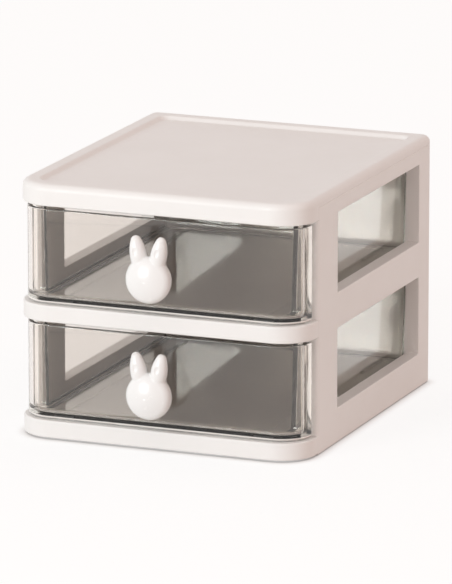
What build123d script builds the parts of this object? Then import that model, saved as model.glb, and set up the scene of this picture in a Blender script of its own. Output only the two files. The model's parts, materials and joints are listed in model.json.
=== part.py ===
from build123d import *

import os
from math import cos, radians, sin, sqrt

# Two-drawer desk unit: a cream frame of snap-fit mouldings with two clear drawers.
# Millimetres. The front faces -Y, +Z is up, and the origin lies on the desk, under the
# middle of the whole unit with its drawers shut and its pulls counted.

# Frame, outside
FRAME_W = 180.0
FRAME_D = 213.0
FRONT_R = 21.0          # plan radius of the two front corners
REAR_R = 6.0            # plan radius of the two rear corners
FOOT_H = 1.0            # gap that the pads leave under the frame
BASE_LIP = 10.4         # height of the front lips
SHELF_LIP = 10.0
TOP_LIP = 12.8
BAY_H = 58.4            # opening between two lips
LIP_WALL = 3.0
LIP_EDGE_R = 0.9
FIT = 0.1               # play between snapped pieces
SEAM = 0.15             # line between a lip's end and the side panel

# Decks
PLATE = 3.0
RIB_W = 1.8
RIB_H = 4.0
RIB_PITCH = 45.0
TONGUE_L = 24.0
TONGUE_REACH = 3.0
TONGUE_FROM_FRONT = (66.0, 162.0)
GROOVE_X = 62.0         # two grooves that guide and stop the drawer above
GROOVE_DEPTH = 1.0
GROOVE_FROM_FRONT = 17.0
GROOVE_PLAY = 0.3
PAD_W = 12.0            # two low pads that carry the drawer's front
PAD_T = 3.0
PAD_FROM_FRONT = 12.0

# Top cover
COVER_SKIRT = 5.4
COVER_EDGE_R = 4.0
RIM_W = 10.0
RECESS = 2.2
RECESS_SLOPE = 45.0
RECESS_EDGE_R = 1.8
COVER_PLATE = 2.4
COVER_TONGUE_T = 2.4
COVER_TONGUE_H = 5.0
SEAM_CHAMFER = 0.3

# Side panels
PANEL_T = 8.4
PANEL_SETBACK = 24.0    # front edge of the panel behind the lips' front plane
PANEL_EDGE_R = 2.4
WINDOW_FROM_FRONT = 55.0
WINDOW_L = 136.0
WINDOW_H = 47.2
WINDOW_SILL = 9.6       # above the deck beside it
WINDOW_R = 1.2
WINDOW_EDGE_R = 0.6

# Back panel
BACK_T = 2.4
BACK_INSET = 2.7        # behind face of the sheet, in from the rear edge
BACK_GROOVE = 2.2

# Feet
FOOT_R = 6.5
FOOT_T = 1.6
FOOT_X = 66.0
FOOT_FROM_FRONT = 32.0
FOOT_FROM_REAR = 24.0
BOSS_WALL = 2.0
SKIRT_WALL = 2.5

# Drawers
FASCIA_INSET = 2.6      # front of the clear wall behind the lips' front plane
FASCIA_T = 2.4
FASCIA_BELOW = 0.9      # gap to the lip below
FASCIA_ABOVE = 2.2      # gap to the lip above
FASCIA_END_GAP = 3.2    # gap to the side panel's front edge
FASCIA_END_R = 0.9
DRAWER_EDGE_R = 0.7
TUB_HALF_W = 78.6       # at the top edge, behind the wide front
TUB_DRAFT = 1.5         # degrees that the tub narrows downwards
TUB_WALL = 2.2
TUB_FLOOR_T = 2.2
TUB_REAR_R = 8.0
TUB_REAR_GAP = 1.2
TUB_START = 12.0        # where the narrow tub begins inside the wide front
NECK_INNER_R = 3.6      # round inside the end of the wide front
NECK_R = 1.2            # rounds where the wide front steps in to the tub
FLOOR_R = 3.4           # round between the floor and the walls
KEY_W = 3.0             # keys under the tub that run in the deck's grooves
KEY_FROM_REAR = 10.0
TRAVEL = 150.0
STOP_PLAY = 0.3

# Pull: a plain rabbit head on a round seat
KNOB_REACH = 19.0       # front of the pull before the lips' front plane
HEAD_R = 13.8
HEAD_HALF_T = 7.5
HEAD_EDGE_R = 5.5
HEAD_DROP = 4.8         # centre of the head below the middle of the drawer front
SEAT_R = 5.5
EAR_ROOT = (4.8, 6.0)   # from the head's centre: sideways and up
EAR_TILT = 10.0
EAR_HALF_W = 4.9
EAR_BELLY = 8.0         # height of the widest place above the root
EAR_ARC = 19.0          # from the ear's axis to the centre of its side arc
EAR_TIP_R = 3.0
EAR_FILLET = 1.2
DISH_R = 3.4            # hollow on the front of each ear
DISH_HALF_L = 6.0
DISH_UP = 11.5          # its middle above the root
DISH_DEPTH = 0.9

# Pull screw
SCREW_R = 2.0
SCREW_L = 11.0
SCREW_HEAD_R = 3.6
SCREW_HEAD_H = 2.4
CROSS_L = 4.0
CROSS_W = 0.9
CROSS_DEPTH = 1.2
SCREW_PLAY = 0.05
CLEARANCE_R = 2.2

# Planes and levels worked out from the above
OVERALL_D = FRAME_D + KNOB_REACH
REAR = OVERALL_D / 2
FRONT = REAR - FRAME_D
INNER_HALF = FRAME_W / 2 - PANEL_T
PANEL_FRONT = FRONT + PANEL_SETBACK
LIP_REAR = PANEL_FRONT - SEAM
BACK_FACE = REAR - BACK_INSET - BACK_T
DECK_REAR = BACK_FACE - FIT
LOWER_FLOOR = FOOT_H + BASE_LIP
SHELF_Z = LOWER_FLOOR + BAY_H
UPPER_FLOOR = SHELF_Z + SHELF_LIP
TOP_LIP_Z = UPPER_FLOOR + BAY_H
TOP_Z = TOP_LIP_Z + TOP_LIP
COVER_Z = TOP_Z - COVER_SKIRT
FASCIA_REAR = PANEL_FRONT - FASCIA_END_GAP
FASCIA_H = BAY_H - FASCIA_BELOW - FASCIA_ABOVE
TUB_REAR = BACK_FACE - TUB_REAR_GAP
BAYS = {"lower": LOWER_FLOOR, "upper": UPPER_FLOOR}
SIDES = {"left": -1, "right": 1}

os.makedirs("parts", exist_ok=True)


def save(part, name):
    """Label one finished piece and write it."""
    part.label = name
    export_step(part, f"parts/{name}.step")


def plan(level, inset=0.0, rear=REAR, rear_r=0.0):
    """The unit's outline from above, drawn in by inset, cut off at rear, at height level."""
    front = FRONT + inset
    with BuildSketch(Plane.XY.offset(level)) as outline:
        with Locations((0, (front + REAR) / 2)):
            Rectangle(FRAME_W - 2 * inset, REAR - front)
        fillet(outline.vertices().group_by(Axis.Y)[0], FRONT_R - inset)
        if rear < REAR:
            with Locations((0, (front + rear) / 2)):
                Rectangle(FRAME_W, rear - front, mode=Mode.INTERSECT)
        if rear_r > 0:
            fillet(outline.vertices().group_by(Axis.Y)[-1], rear_r)
    return outline.sketch


def span(middle, length):
    """The two ends of a length about its middle."""
    return (middle - length / 2, middle + length / 2)


def patch(level, xs, ys):
    """A rectangle at height level between two x and two y values."""
    with BuildSketch(Plane.XY.offset(level)) as outline:
        with Locations((sum(xs) / 2, sum(ys) / 2)):
            Rectangle(xs[1] - xs[0], ys[1] - ys[0])
    return outline.sketch


def lip(level, height):
    """Front band of a deck or of the cover: rounded in plan, hollow from below."""
    with BuildPart() as band:
        extrude(plan(level, rear=LIP_REAR), amount=height)
        rims = band.edges().filter_by(Axis.Z, reverse=True)
        fillet(rims.filter_by(lambda e: e.center().Y < LIP_REAR - FIT), LIP_EDGE_R)
        extrude(plan(level, LIP_WALL, LIP_REAR), amount=height - PLATE, mode=Mode.SUBTRACT)
    return band.part


def deck(top, height):
    """A lip with the plate behind it, its ribs and side tongues, and the drawer's grooves and pads."""
    plate_w = 2 * (INNER_HALF - FIT)
    with BuildPart() as floor:
        add(lip(top - height, height))
        plate = patch(top - PLATE, span(0, plate_w), (LIP_REAR - LIP_WALL, DECK_REAR))
        extrude(plate, amount=PLATE)
        for column in (-1, 0, 1):
            rib_x = span(column * RIB_PITCH, RIB_W)
            extrude(patch(top - PLATE - RIB_H, rib_x, (FRONT + LIP_WALL, DECK_REAR)), amount=RIB_H)
        for from_front in TONGUE_FROM_FRONT:
            tongue_y = span(FRONT + from_front, TONGUE_L)
            tongue = patch(top - PLATE + FIT, span(0, plate_w + 2 * TONGUE_REACH), tongue_y)
            extrude(tongue, amount=PLATE - 2 * FIT)
        for sign in SIDES.values():
            groove_x = span(sign * GROOVE_X, KEY_W + 2 * GROOVE_PLAY)
            groove = patch(top, groove_x, (FRONT + GROOVE_FROM_FRONT, DECK_REAR))
            extrude(groove, amount=-GROOVE_DEPTH, mode=Mode.SUBTRACT)
            pad_y = FRONT + PAD_FROM_FRONT
            pad = patch(top, span(sign * GROOVE_X, PAD_W), (pad_y, pad_y + PAD_T))
            extrude(pad, amount=FASCIA_BELOW)
    return floor.part


# Base: the deck with skirts all round and a boss over each foot
foot_spots = {
    f"{end}_{side}": (sign * FOOT_X, y)
    for end, y in (("front", FRONT + FOOT_FROM_FRONT), ("rear", REAR - FOOT_FROM_REAR))
    for side, sign in SIDES.items()
}

with BuildPart() as base:
    add(deck(LOWER_FLOOR, BASE_LIP))
    skirt_h = BASE_LIP - PLATE
    skirt_x = INNER_HALF - FIT
    for sign in SIDES.values():
        side_x = span(sign * (skirt_x - SKIRT_WALL / 2), SKIRT_WALL)
        extrude(patch(FOOT_H, side_x, (LIP_REAR, DECK_REAR)), amount=skirt_h)
    rear_y = (DECK_REAR - SKIRT_WALL, DECK_REAR)
    extrude(patch(FOOT_H, (-skirt_x, skirt_x), rear_y), amount=skirt_h)
    with BuildSketch(Plane.XY.offset(FOOT_H)) as bosses:
        with Locations(*foot_spots.values()):
            Circle(FOOT_R + BOSS_WALL)
    extrude(amount=skirt_h)
    with BuildSketch(Plane.XY.offset(FOOT_H)) as foot_seats:
        with Locations(*foot_spots.values()):
            Circle(FOOT_R + FIT)
    extrude(amount=FOOT_T - FOOT_H, mode=Mode.SUBTRACT)
save(base.part, "base")

for spot, (foot_x, foot_y) in foot_spots.items():
    with BuildPart() as foot:
        with BuildSketch() as pad:
            with Locations((foot_x, foot_y)):
                Circle(FOOT_R)
        extrude(amount=FOOT_T)
        fillet(foot.edges().group_by(Axis.Z)[0], FOOT_H / 3)
    save(foot.part, f"{spot}_foot")

# Middle shelf
with BuildPart() as middle_shelf:
    add(deck(UPPER_FLOOR, SHELF_LIP))
save(middle_shelf.part, "middle_shelf")

# Top cover: rounded slab with a raised rim, a front lip and tongues for the side panels
tongue_x = INNER_HALF + PANEL_T / 2

with BuildPart() as top_cover:
    extrude(plan(COVER_Z, rear_r=REAR_R), amount=COVER_SKIRT)
    fillet(top_cover.faces().sort_by(Axis.Z)[-1].edges(), COVER_EDGE_R)
    chamfer(top_cover.faces().sort_by(Axis.Z)[0].edges(), SEAM_CHAMFER)
    band = plan(TOP_LIP_Z, rear=LIP_REAR)
    extrude(band, amount=COVER_Z - TOP_LIP_Z + SEAM_CHAMFER)
    lip_rim = top_cover.edges().group_by(Axis.Z)[0]
    fillet(lip_rim.filter_by(lambda e: e.center().Y < LIP_REAR - FIT), LIP_EDGE_R)
    recess = plan(TOP_Z, RIM_W, REAR - RIM_W, REAR_R)
    extrude(recess, amount=-RECESS, taper=RECESS_SLOPE, mode=Mode.SUBTRACT)
    rim_face = top_cover.faces().sort_by(Axis.Z)[-1]
    fillet(rim_face.inner_wires().edges(), RECESS_EDGE_R)
    recess_floor = top_cover.edges().filter_by_position(Axis.Z, TOP_Z - RECESS - FIT, TOP_Z - RECESS + FIT)
    fillet(recess_floor, RECESS_EDGE_R)
    plate_under = TOP_Z - RECESS - COVER_PLATE
    hollow = plan(TOP_LIP_Z, LIP_WALL, LIP_REAR)
    extrude(hollow, amount=plate_under - TOP_LIP_Z, mode=Mode.SUBTRACT)
    under = patch(COVER_Z, span(0, 2 * (INNER_HALF - LIP_WALL)), (LIP_REAR, BACK_FACE))
    extrude(under, amount=plate_under - COVER_Z, mode=Mode.SUBTRACT)
    for from_front in TONGUE_FROM_FRONT:
        for sign in SIDES.values():
            cover_tongue_x = span(sign * tongue_x, COVER_TONGUE_T)
            cover_tongue = patch(COVER_Z, cover_tongue_x, span(FRONT + from_front, TONGUE_L))
            extrude(cover_tongue, amount=-COVER_TONGUE_H)
save(top_cover.part, "top_cover")

# Side panels: the right one, then its mirror image
panel_mid = (PANEL_FRONT + REAR) / 2
window_y = FRONT + WINDOW_FROM_FRONT + WINDOW_L / 2

with BuildPart() as right_side_panel:
    with BuildSketch(Plane.YZ.offset(INNER_HALF)) as upright:
        with Locations((panel_mid, (FOOT_H + COVER_Z) / 2)):
            Rectangle(REAR - PANEL_FRONT, COVER_Z - FOOT_H)
        for floor in BAYS.values():
            with Locations((window_y, floor + WINDOW_SILL + WINDOW_H / 2)):
                RectangleRounded(WINDOW_L, WINDOW_H, WINDOW_R, mode=Mode.SUBTRACT)
    extrude(amount=PANEL_T)
    outer = right_side_panel.faces().sort_by(Axis.X)[-1]
    fillet(outer.edges().filter_by(Axis.Z).sort_by(Axis.Y)[-1], REAR_R)
    outer = right_side_panel.faces().sort_by(Axis.X)[-1]
    chamfer(outer.edges().filter_by(Axis.Y).sort_by(Axis.Z)[-1], SEAM_CHAMFER)
    outer = right_side_panel.faces().sort_by(Axis.X)[-1]
    fillet(outer.inner_wires().edges(), WINDOW_EDGE_R)
    for floor in BAYS.values():
        with BuildSketch(Plane.XY.offset(floor)) as front_round:
            with Locations((FRAME_W / 2 - PANEL_EDGE_R / 2, PANEL_FRONT + PANEL_EDGE_R / 2)):
                Rectangle(PANEL_EDGE_R, PANEL_EDGE_R)
            with Locations((FRAME_W / 2 - PANEL_EDGE_R, PANEL_FRONT + PANEL_EDGE_R)):
                Circle(PANEL_EDGE_R, mode=Mode.SUBTRACT)
        extrude(amount=BAY_H, mode=Mode.SUBTRACT)
    for from_front in TONGUE_FROM_FRONT:
        socket_y = span(FRONT + from_front, TONGUE_L + 2 * FIT)
        for floor in BAYS.values():
            socket = patch(floor - PLATE, (INNER_HALF, INNER_HALF + TONGUE_REACH + FIT), socket_y)
            extrude(socket, amount=PLATE, mode=Mode.SUBTRACT)
        slot = patch(COVER_Z, span(tongue_x, COVER_TONGUE_T + 2 * FIT), socket_y)
        extrude(slot, amount=-COVER_TONGUE_H - FIT, mode=Mode.SUBTRACT)
    groove_x = (INNER_HALF, INNER_HALF + BACK_GROOVE + FIT)
    groove_y = (BACK_FACE - FIT, BACK_FACE + BACK_T + FIT)
    groove_h = COVER_Z - LOWER_FLOOR + PLATE
    extrude(patch(LOWER_FLOOR - PLATE, groove_x, groove_y), amount=groove_h, mode=Mode.SUBTRACT)
save(right_side_panel.part, "right_side_panel")

with BuildPart() as left_side_panel:
    mirror(right_side_panel.part, about=Plane.YZ)
save(left_side_panel.part, "left_side_panel")

# Back panel, standing in the side panels' grooves under the cover
with BuildPart() as back_panel:
    sheet_x = span(0, 2 * (INNER_HALF + BACK_GROOVE))
    sheet = patch(LOWER_FLOOR - PLATE + FIT, sheet_x, (BACK_FACE, BACK_FACE + BACK_T))
    extrude(sheet, amount=groove_h - 2 * FIT)
save(back_panel.part, "back_panel")


def tub_outline(level, wall):
    """The narrow tub from above, with round rear corners, drawn in by wall."""
    rear = TUB_REAR - wall
    start = FRONT + TUB_START
    with BuildSketch(Plane.XY.offset(level)) as outline:
        with Locations((0, (start + rear) / 2)):
            Rectangle(2 * (TUB_HALF_W - wall), rear - start)
        fillet(outline.vertices().group_by(Axis.Y)[-1], TUB_REAR_R - wall)
    return outline.sketch


def necks(tub, y):
    """The two upright edges at y where the wide front steps in to the narrow tub."""
    uprights = tub.edges().filter_by(lambda e: abs(e.center().Y - y) < FIT and e.length > FASCIA_H / 2)
    return uprights.filter_by(lambda e: abs(e.center().X) < TUB_HALF_W)


def drawer_tub(floor, knob_z):
    """Clear one-piece drawer: a wide wrap-round front that steps in to a tapered tub."""
    bottom = floor + FASCIA_BELOW
    top = bottom + FASCIA_H
    tub_floor = bottom + TUB_FLOOR_T
    step_y = FASCIA_REAR - TUB_WALL
    with BuildPart() as tub:
        extrude(plan(bottom, FASCIA_INSET, FASCIA_REAR, FASCIA_END_R), amount=FASCIA_H)
        extrude(tub_outline(top, 0), amount=-FASCIA_H, taper=TUB_DRAFT)
        fillet(necks(tub, FASCIA_REAR), NECK_R)
        front_space = plan(tub_floor, FASCIA_INSET + FASCIA_T, step_y, NECK_INNER_R)
        extrude(front_space, amount=FASCIA_H - TUB_FLOOR_T, mode=Mode.SUBTRACT)
        inside = tub_outline(top, TUB_WALL)
        extrude(inside, amount=TUB_FLOOR_T - FASCIA_H, taper=TUB_DRAFT, mode=Mode.SUBTRACT)
        fillet(necks(tub, step_y), NECK_R)
        fillet(tub.edges().filter_by_position(Axis.Z, tub_floor - FIT, tub_floor + FIT), FLOOR_R)
        fillet(tub.faces().sort_by(Axis.Z)[-1].edges(), DRAWER_EDGE_R)
        fillet(tub.faces().sort_by(Axis.Z)[0].edges(), DRAWER_EDGE_R)
        key_y = (FRONT + GROOVE_FROM_FRONT + TRAVEL + STOP_PLAY, TUB_REAR - KEY_FROM_REAR)
        for sign in SIDES.values():
            key = patch(floor - GROOVE_DEPTH, span(sign * GROOVE_X, KEY_W), key_y)
            extrude(key, amount=GROOVE_DEPTH + FASCIA_BELOW)
        with BuildSketch(Plane.XZ.offset(-FRONT - FASCIA_INSET)) as screw_hole:
            with Locations((0, knob_z)):
                Circle(CLEARANCE_R)
        extrude(amount=-FASCIA_T, mode=Mode.SUBTRACT)
    return tub.part


def head(middle):
    """Round head: two shallow domes that run into a full edge, turned front to back."""
    edge_x = HEAD_R - HEAD_EDGE_R
    dome_r = (edge_x**2 + HEAD_HALF_T**2 - HEAD_EDGE_R**2) / (2 * (HEAD_HALF_T - HEAD_EDGE_R))
    dome_centre = Vector(0, dome_r - HEAD_HALF_T)
    pole = Vector(0, -HEAD_HALF_T)
    edge_start = dome_centre + (Vector(edge_x, 0) - dome_centre).normalized() * dome_r
    dome_mid = dome_centre + (pole + edge_start - dome_centre * 2).normalized() * dome_r
    with BuildPart() as ball:
        with BuildSketch(Plane(middle)) as half:
            with BuildLine():
                ThreePointArc(pole, dome_mid, edge_start)
                ThreePointArc(edge_start, (HEAD_R, 0), (edge_start.X, -edge_start.Y))
                ThreePointArc((edge_start.X, -edge_start.Y), (dome_mid.X, -dome_mid.Y), -pole)
                Line(-pole, pole)
            make_face()
        revolve(axis=Axis(middle, (0, 1, 0)))
    return ball.part


def ear_plane(root, tilt):
    """Plane along an ear that leans sideways by tilt degrees: its y axis is the ear's own axis."""
    lean = radians(tilt)
    return Plane(root, (cos(lean), 0, -sin(lean)), (0, -1, 0))


def ear(plane):
    """One ear: a leaf with a round tip, turned about its axis."""
    arc_r = EAR_ARC + EAR_HALF_W
    root_w = sqrt(arc_r**2 - EAR_BELLY**2) - EAR_ARC
    tip_up = sqrt((arc_r - EAR_TIP_R) ** 2 - EAR_ARC**2)
    tip_centre = Vector(0, EAR_BELLY + tip_up)
    tip = tip_centre + Vector(0, EAR_TIP_R)
    side_end = tip_centre + Vector(EAR_ARC, tip_up).normalized() * EAR_TIP_R
    shoulder = tip_centre + (side_end - tip_centre + Vector(0, EAR_TIP_R)).normalized() * EAR_TIP_R
    with BuildPart() as leaf:
        with BuildSketch(plane):
            with BuildLine():
                Polyline(tip, (0, 0), (root_w, 0))
                ThreePointArc((root_w, 0), (EAR_HALF_W, EAR_BELLY), side_end)
                ThreePointArc(side_end, shoulder, tip)
            make_face()
        revolve(axis=Axis(plane.origin, plane.y_dir))
    return leaf.part


def ear_dish(plane):
    """The shallow hollow on the front of an ear: a spindle laid along it."""
    standoff = EAR_HALF_W + DISH_R - DISH_DEPTH
    cut = plane.offset(standoff)
    with BuildPart() as spindle:
        with BuildSketch(cut):
            with BuildLine():
                ThreePointArc((0, DISH_UP - DISH_HALF_L), (DISH_R, DISH_UP), (0, DISH_UP + DISH_HALF_L))
                Line((0, DISH_UP + DISH_HALF_L), (0, DISH_UP - DISH_HALF_L))
            make_face()
        revolve(axis=Axis(cut.origin, cut.y_dir))
    return spindle.part


def knob(knob_z):
    """White pull: a domed round head with two leaf-shaped ears, on a round seat."""
    seat_y = FRONT + FASCIA_INSET
    head_y = FRONT - KNOB_REACH + HEAD_HALF_T
    head_z = knob_z - HEAD_DROP
    with BuildPart() as pull:
        add(head((0, head_y, head_z)))
        planes = [
            ear_plane((sign * EAR_ROOT[0], head_y, head_z + EAR_ROOT[1]), sign * EAR_TILT)
            for sign in SIDES.values()
        ]
        for plane in planes:
            add(ear(plane))
        fillet(pull.edges().filter_by(GeomType.BSPLINE), EAR_FILLET)
        for plane in planes:
            add(ear_dish(plane), mode=Mode.SUBTRACT)
        with BuildSketch(Plane.XZ.offset(-seat_y)) as seat:
            with Locations((0, knob_z)):
                Circle(SEAT_R)
        extrude(amount=seat_y - head_y)
        with BuildSketch(Plane.XZ.offset(-seat_y)) as bore:
            with Locations((0, knob_z)):
                Circle(SCREW_R + SCREW_PLAY)
        extrude(amount=SCREW_L - FASCIA_T + SCREW_R, mode=Mode.SUBTRACT)
    return pull.part


def knob_screw(knob_z):
    """Pan-head screw from inside the drawer into the pull."""
    seat_y = FRONT + FASCIA_INSET + FASCIA_T
    with BuildPart() as screw:
        with BuildSketch(Plane.XZ.offset(-seat_y)) as shank:
            with Locations((0, knob_z)):
                Circle(SCREW_R)
        extrude(amount=SCREW_L)
        with BuildSketch(Plane.XZ.offset(-seat_y)) as head:
            with Locations((0, knob_z)):
                Circle(SCREW_HEAD_R)
        extrude(amount=-SCREW_HEAD_H)
        fillet(screw.faces().sort_by(Axis.Y)[-1].edges(), SCREW_HEAD_H / 2)
        with BuildSketch(Plane.XZ.offset(-seat_y - SCREW_HEAD_H)) as cross:
            with Locations((0, knob_z)):
                Rectangle(CROSS_L, CROSS_W)
                Rectangle(CROSS_W, CROSS_L)
        extrude(amount=CROSS_DEPTH, mode=Mode.SUBTRACT)
    return screw.part


for bay, floor in BAYS.items():
    knob_z = floor + FASCIA_BELOW + FASCIA_H / 2
    save(drawer_tub(floor, knob_z), f"{bay}_drawer_tub")
    save(knob(knob_z), f"{bay}_knob")
    save(knob_screw(knob_z), f"{bay}_knob_screw")
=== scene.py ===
import json
from math import cos, radians, sin

import bpy
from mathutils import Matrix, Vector


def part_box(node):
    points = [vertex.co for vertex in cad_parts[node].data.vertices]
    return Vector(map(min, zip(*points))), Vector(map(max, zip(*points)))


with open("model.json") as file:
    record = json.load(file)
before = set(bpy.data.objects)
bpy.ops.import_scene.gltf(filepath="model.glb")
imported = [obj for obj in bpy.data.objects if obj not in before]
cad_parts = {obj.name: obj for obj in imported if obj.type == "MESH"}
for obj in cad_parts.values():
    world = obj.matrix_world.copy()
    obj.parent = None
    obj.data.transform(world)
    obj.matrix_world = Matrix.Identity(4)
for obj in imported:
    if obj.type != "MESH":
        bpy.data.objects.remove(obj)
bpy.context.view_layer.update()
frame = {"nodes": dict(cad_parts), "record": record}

# Camera: angles in degrees and places in metres, fitted to the photograph's frame in pixels
PHOTO_W = 452
PHOTO_H = 584
FOCAL_PIXELS = 6403.0
SENSOR_MM = 36.0
VIEW_AZIMUTH = 21.76
VIEW_ELEVATION = 13.55
VIEW_DISTANCE = 3.758
AIM = Vector((0.0003, 0.00955, 0.0701))     # the point that the camera and the lamp look at

# Room light: a dim wall on the left, a warm wall on the right and a pale ceiling
LEFT_COLOUR = (0.42, 0.39, 0.375, 1.0)
RIGHT_COLOUR = (0.79, 0.595, 0.525, 1.0)
CEILING_COLOUR = (0.77, 0.675, 0.64, 1.0)
LEFT_ENDS = -0.4        # the sideways part of a direction up to which the left wall keeps its colour
RIGHT_BEGINS = 0.8      # the sideways part from which the right wall has its full colour

# Lamp: one large soft square, low in front and to the left, in degrees, metres and watts
KEY_COLOUR = (0.87, 0.975, 1.0)
KEY_AZIMUTH = -23.0
KEY_ELEVATION = 13.0
KEY_DISTANCE = 3.0
KEY_SIZE = 1.1
KEY_POWER = 43.8

# Floor, in metres
FLOOR_HALF = 9.0
FLOOR_COLOUR = (0.78, 0.75, 0.73, 1.0)
FLOOR_WHITE = 0.74      # share of plain white that a direct look at the floor gets
WHITE_STRENGTH = 1.13   # brings the open floor to just under white beside its lit share
CONTACT_REACH = 0.006   # how far from what stands on it the floor loses that white, a painted contact shadow

# Clear drawers, in metres and in shares of clearness
RUNNER_DEPTH = 0.0019   # how far the runners reach below a drawer's own bottom
HIGHLIGHT_LINE = 0.0013      # height of the whitish line along the bottom edge, a painted highlight
HIGHLIGHT_FADE = 0.0002      # over how much height that line ends, and its margin at the bottom
UPRIGHT_TILT = 0.75     # a face whose normal rises or falls by less than this counts as upright
FLAT_TILT = 0.95        # and by more than this as flat
BODY_CLEAR = 0.99
# clearness on the painted highlight line; the rest of that line shows whitish
HIGHLIGHT_CLEAR = 0.25
CLEAR_IOR = 1.49
PASSED_COLOUR = (0.95, 0.915, 0.885, 1.0)   # lamp light that passes one face straight on

# Values shared by the node trees
WHITE = (1.0, 1.0, 1.0, 1.0)
BLACK = (0.0, 0.0, 0.0, 1.0)
HALF_BOUNCE = 0.5       # a count of bounces below this is none
NOISE_FIRST = 0.3       # nearly all of a noise lies between these two
NOISE_LAST = 0.7
MIX_FIRST = 6           # sockets of a Mix node that mixes colours
MIX_SECOND = 7
MIX_RESULT = 2


def direction(azimuth, elevation):
    """Unit vector from the object towards a place round it; azimuth 0 is in front."""
    a = radians(azimuth)
    e = radians(elevation)
    return Vector((sin(a) * cos(e), -cos(a) * cos(e), sin(e)))


def add_object(name, data):
    """A new object in the scene."""
    made = bpy.data.objects.new(name, data)
    bpy.context.scene.collection.objects.link(made)
    return made


def aim_from(thing, place, target):
    """Put a camera or a lamp at a place, looking at the target."""
    thing.location = place
    thing.rotation_euler = (place - target).to_track_quat("Z", "Y").to_euler()


class Nodes:
    """Short names for building one node tree."""

    def __init__(self, tree):
        self.tree = tree
        self.tree.nodes.clear()

    def add(self, kind, **settings):
        """A new node of a kind, with its settings."""
        node = self.tree.nodes.new(kind)
        for name, value in settings.items():
            setattr(node, name, value)
        return node

    def link(self, out_socket, in_socket):
        """Join two sockets."""
        self.tree.links.new(out_socket, in_socket)

    def feed(self, source, in_socket):
        """Give a socket its value: another node's socket, or a plain number or colour."""
        if isinstance(source, bpy.types.NodeSocket):
            self.link(source, in_socket)
        else:
            in_socket.default_value = source

    def math(self, operation, *sources):
        """The result of one operation on sockets and numbers."""
        node = self.add("ShaderNodeMath", operation=operation)
        for number, source in enumerate(sources):
            self.feed(source, node.inputs[number])
        return node.outputs[0]

    def part(self, vector, axis):
        """One part of a vector, by its axis."""
        split = self.add("ShaderNodeSeparateXYZ")
        self.link(vector, split.inputs[0])
        return split.outputs[axis]

    def spread(self, value, low, high, first=NOISE_FIRST, last=NOISE_LAST):
        """A value that runs from first to last, such as a noise, made to run from low to high."""
        ramp = self.add("ShaderNodeMapRange")
        ramp.inputs["From Min"].default_value = first
        ramp.inputs["From Max"].default_value = last
        ramp.inputs["To Min"].default_value = low
        ramp.inputs["To Max"].default_value = high
        self.link(value, ramp.inputs["Value"])
        return ramp.outputs["Result"]

    def noise(self, scale, detail=2.0):
        """Noise over the object's own coordinates, with scale in features per metre."""
        where = self.add("ShaderNodeTexCoord")
        texture = self.add("ShaderNodeTexNoise")
        texture.inputs["Scale"].default_value = scale
        texture.inputs["Detail"].default_value = detail
        self.link(where.outputs["Object"], texture.inputs["Vector"])
        return texture.outputs["Fac"]

    def mix_colours(self, share, first, second):
        """The colour that lies a share of the way from the first to the second."""
        mix = self.add("ShaderNodeMix", data_type="RGBA")
        self.link(share, mix.inputs["Factor"])
        self.feed(first, mix.inputs[MIX_FIRST])
        self.feed(second, mix.inputs[MIX_SECOND])
        return mix.outputs[MIX_RESULT]

    def mix_shaders(self, share, first, second):
        """A share of the second shader over the first."""
        mix = self.add("ShaderNodeMixShader")
        self.link(share, mix.inputs[0])
        self.link(first.outputs[0], mix.inputs[1])
        self.link(second.outputs[0], mix.inputs[2])
        return mix

    def seen_directly(self):
        """1 for rays that show a thing by eye, in a gloss or through clear plastic."""
        path = self.add("ShaderNodeLightPath")
        by_eye = self.math("MAXIMUM", path.outputs["Is Camera Ray"], path.outputs["Is Glossy Ray"])
        shown = self.math("MAXIMUM", by_eye, path.outputs["Is Transmission Ray"])
        no_bounce = self.math("LESS_THAN", path.outputs["Diffuse Depth"], HALF_BOUNCE)
        return self.math("MULTIPLY", shown, no_bounce)

    def surface(self, tints, tint_scale, roughness, roughness_scale):
        """A surface whose colour and roughness each vary a little between two values."""
        shader = self.add("ShaderNodeBsdfPrincipled")
        first, second = tints
        tint_share = self.spread(self.noise(tint_scale), low=0.0, high=1.0)
        tint = self.mix_colours(tint_share, (*first, 1.0), (*second, 1.0))
        self.link(tint, shader.inputs["Base Color"])
        smooth, rough = roughness
        self.link(self.spread(self.noise(roughness_scale), smooth, rough), shader.inputs["Roughness"])
        return shader

    def grain(self, shader, scale, strength, distance, detail=2.0):
        """Fine unevenness on a surface, with its depth in metres as the distance."""
        node = self.add("ShaderNodeBump")
        node.inputs["Strength"].default_value = strength
        node.inputs["Distance"].default_value = distance
        self.link(self.noise(scale, detail), node.inputs["Height"])
        self.link(node.outputs["Normal"], shader.inputs["Normal"])

    def output(self, shader, kind="ShaderNodeOutputMaterial"):
        """Make a shader the result of the tree."""
        out = self.add(kind)
        self.link(shader.outputs[0], out.inputs["Surface"])


def new_material(name):
    """An empty node material and its tree."""
    material = bpy.data.materials.new(name)
    material.use_nodes = True
    return material, Nodes(material.node_tree)


def frame_plastic():
    """Cream satin moulding with a very fine grain."""
    material, nodes = new_material("frame_plastic")
    surface = nodes.surface(
        tints=((0.872, 0.856, 0.842), (0.888, 0.872, 0.860)),
        tint_scale=28.0,
        roughness=(0.40, 0.50),
        roughness_scale=160.0,
    )
    nodes.grain(surface, scale=2600.0, strength=0.08, distance=0.00005)
    surface.inputs["IOR"].default_value = 1.46
    nodes.output(surface)
    return material


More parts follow.
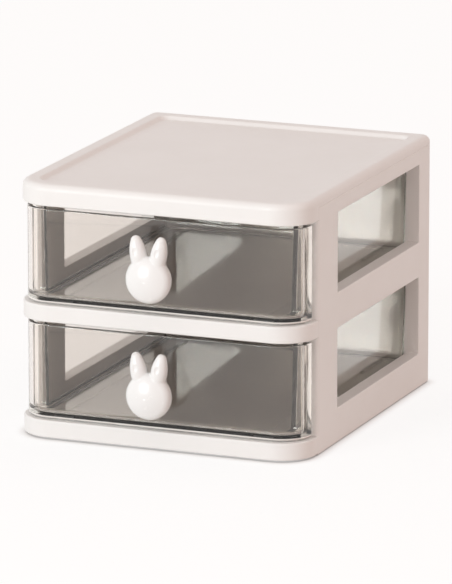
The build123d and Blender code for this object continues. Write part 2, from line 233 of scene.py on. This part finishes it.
def clarity(nodes, bottom):
    """How clear a drawer is: whitish on its upright faces just above the bottom, a painted highlight, and
    clear elsewhere.
    """
    where = nodes.add("ShaderNodeTexCoord")
    height = nodes.part(where.outputs["Object"], "Z")
    tilt = nodes.math("ABSOLUTE", nodes.part(where.outputs["Normal"], "Z"))
    line_top = bottom + HIGHLIGHT_LINE
    low = nodes.spread(height, low=1.0, high=0.0, first=line_top - HIGHLIGHT_FADE, last=line_top)
    above_runners = nodes.math("GREATER_THAN", height, bottom - HIGHLIGHT_FADE)
    upright = nodes.spread(tilt, low=1.0, high=0.0, first=UPRIGHT_TILT, last=FLAT_TILT)
    # the painted highlight: a line on the upright faces just above the bottom
    highlight_band = nodes.math("MULTIPLY", low, above_runners)
    edge = nodes.math("MULTIPLY", highlight_band, upright)
    return nodes.spread(edge, low=BODY_CLEAR, high=HIGHLIGHT_CLEAR, first=0.0, last=1.0)


def clear_plastic(tub):
    """Clear moulding, faintly warm, a little wavy, with a whitish bottom edge that is a painted highlight;
    lamps shine through it.
    """
    material, nodes = new_material("clear_plastic_" + tub)
    surface = nodes.surface(
        tints=((0.972, 0.931, 0.894), (0.986, 0.948, 0.914)),
        tint_scale=35.0,
        roughness=(0.02, 0.05),
        roughness_scale=90.0,
    )
    nodes.grain(surface, scale=45.0, strength=0.04, distance=0.0004, detail=1.0)
    surface.inputs["IOR"].default_value = CLEAR_IOR
    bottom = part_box(tub)[0].z + RUNNER_DEPTH
    clear_share = surface.inputs["Transmission Weight"]
    # for a program that reads the plain value and not the link
    clear_share.default_value = BODY_CLEAR      # the body's plain clearness, set as well as the link
    # the whitish line along the bottom edge is a painted highlight
    nodes.link(clarity(nodes, bottom), clear_share)
    glance = nodes.add("ShaderNodeFresnel")
    glance.inputs["IOR"].default_value = CLEAR_IOR
    through = nodes.add("ShaderNodeBsdfTransparent")
    passed = nodes.mix_colours(glance.outputs[0], PASSED_COLOUR, BLACK)
    nodes.link(passed, through.inputs["Color"])
    path = nodes.add("ShaderNodeLightPath")
    nodes.output(nodes.mix_shaders(path.outputs["Is Shadow Ray"], surface, through))
    return material


def pull_plastic():
    """Glossy white moulding."""
    material, nodes = new_material("pull_plastic")
    surface = nodes.surface(
        tints=((0.89, 0.885, 0.88), (0.91, 0.905, 0.90)),
        tint_scale=60.0,
        roughness=(0.20, 0.28),
        roughness_scale=220.0,
    )
    nodes.grain(surface, scale=300.0, strength=0.04, distance=0.0001)
    surface.inputs["IOR"].default_value = 1.5
    nodes.output(surface)
    return material


def screw_steel():
    """Zinc-plated steel."""
    material, nodes = new_material("screw_steel")
    surface = nodes.surface(
        tints=((0.52, 0.52, 0.51), (0.66, 0.66, 0.64)),
        tint_scale=900.0,
        roughness=(0.28, 0.45),
        roughness_scale=1500.0,
    )
    surface.inputs["Metallic"].default_value = 1.0
    nodes.output(surface)
    return material


def foot_rubber():
    """Soft grey rubber."""
    material, nodes = new_material("foot_rubber")
    surface = nodes.surface(
        tints=((0.075, 0.072, 0.070), (0.105, 0.101, 0.098)),
        tint_scale=400.0,
        roughness=(0.7, 0.9),
        roughness_scale=1200.0,
    )
    nodes.grain(surface, scale=1800.0, strength=0.2, distance=0.0001)
    nodes.output(surface)
    return material


def dress_nodes():
    """Give each CAD node the material of its slot; each clear drawer has one of its own."""
    shared = {
        "frame_plastic": frame_plastic(),
        "pull_plastic": pull_plastic(),
        "screw_steel": screw_steel(),
        "foot_rubber": foot_rubber(),
    }
    for subpart in frame["record"]["subparts"]:
        name = subpart["node"]
        if subpart["material_slot"] == "clear_plastic":
            material = clear_plastic(name)
        else:
            material = shared[subpart["material_slot"]]
        for slot in frame["nodes"][name].material_slots:
            slot.material = material


def place_camera():
    """The camera at the photograph's viewing angle."""
    data = bpy.data.cameras.new("camera")
    data.sensor_width = SENSOR_MM
    data.lens = FOCAL_PIXELS * SENSOR_MM / max(PHOTO_W, PHOTO_H)
    camera = add_object("camera", data)
    aim_from(camera, AIM + direction(VIEW_AZIMUTH, VIEW_ELEVATION) * VIEW_DISTANCE, AIM)
    bpy.context.scene.camera = camera


def light_the_room():
    """Light from two walls and a ceiling; to the eye the room is plain white."""
    world = bpy.data.worlds.new("room")
    world.use_nodes = True
    bpy.context.scene.world = world
    nodes = Nodes(world.node_tree)
    towards = nodes.add("ShaderNodeTexCoord").outputs["Generated"]
    to_right = nodes.spread(
        nodes.part(towards, "X"), low=0.0, high=1.0, first=LEFT_ENDS, last=RIGHT_BEGINS
    )
    walls = nodes.mix_colours(to_right, LEFT_COLOUR, RIGHT_COLOUR)
    room = nodes.mix_colours(nodes.part(towards, "Z"), walls, CEILING_COLOUR)
    lit = nodes.add("ShaderNodeBackground")
    nodes.link(room, lit.inputs["Color"])
    white = nodes.add("ShaderNodeBackground")
    white.inputs["Color"].default_value = WHITE
    shader = nodes.mix_shaders(nodes.seen_directly(), lit, white)
    nodes.output(shader, kind="ShaderNodeOutputWorld")


def add_key_lamp():
    """One large soft lamp."""
    data = bpy.data.lights.new("key", "AREA")
    data.shape = "SQUARE"
    data.size = KEY_SIZE
    data.energy = KEY_POWER
    data.color = KEY_COLOUR
    lamp = add_object("key", data)
    aim_from(lamp, AIM + direction(KEY_AZIMUTH, KEY_ELEVATION) * KEY_DISTANCE, AIM)


def floor_paint():
    """Pale and lit like the object, with a share of plain white to the eye; near the object that white
    fades, a painted contact shadow.
    """
    material, nodes = new_material("floor")
    lit = nodes.add("ShaderNodeBsdfDiffuse")
    lit.inputs["Color"].default_value = FLOOR_COLOUR
    white = nodes.add("ShaderNodeEmission")
    white.inputs["Strength"].default_value = WHITE_STRENGTH
    # painted contact shadow: the plain white fades where the object closes the floor in
    contact_shade = nodes.add("ShaderNodeAmbientOcclusion")
    contact_shade.inputs["Distance"].default_value = CONTACT_REACH
    share = nodes.math("MULTIPLY", nodes.seen_directly(), FLOOR_WHITE)
    open_share = nodes.math("MULTIPLY", share, contact_shade.outputs["AO"])
    nodes.output(nodes.mix_shaders(open_share, lit, white))
    return material


def lay_floor():
    """A plain pale floor that keeps the object's shadow."""
    mesh = bpy.data.meshes.new("floor")
    half = FLOOR_HALF
    corners = [(-half, -half, 0), (half, -half, 0), (half, half, 0), (-half, half, 0)]
    mesh.from_pydata(corners, [], [(0, 1, 2, 3)])
    mesh.materials.append(floor_paint())
    floor = add_object("floor", mesh)


dress_nodes()
place_camera()
light_the_room()
add_key_lamp()
lay_floor()
bpy.context.scene.view_settings.view_transform = "Standard"
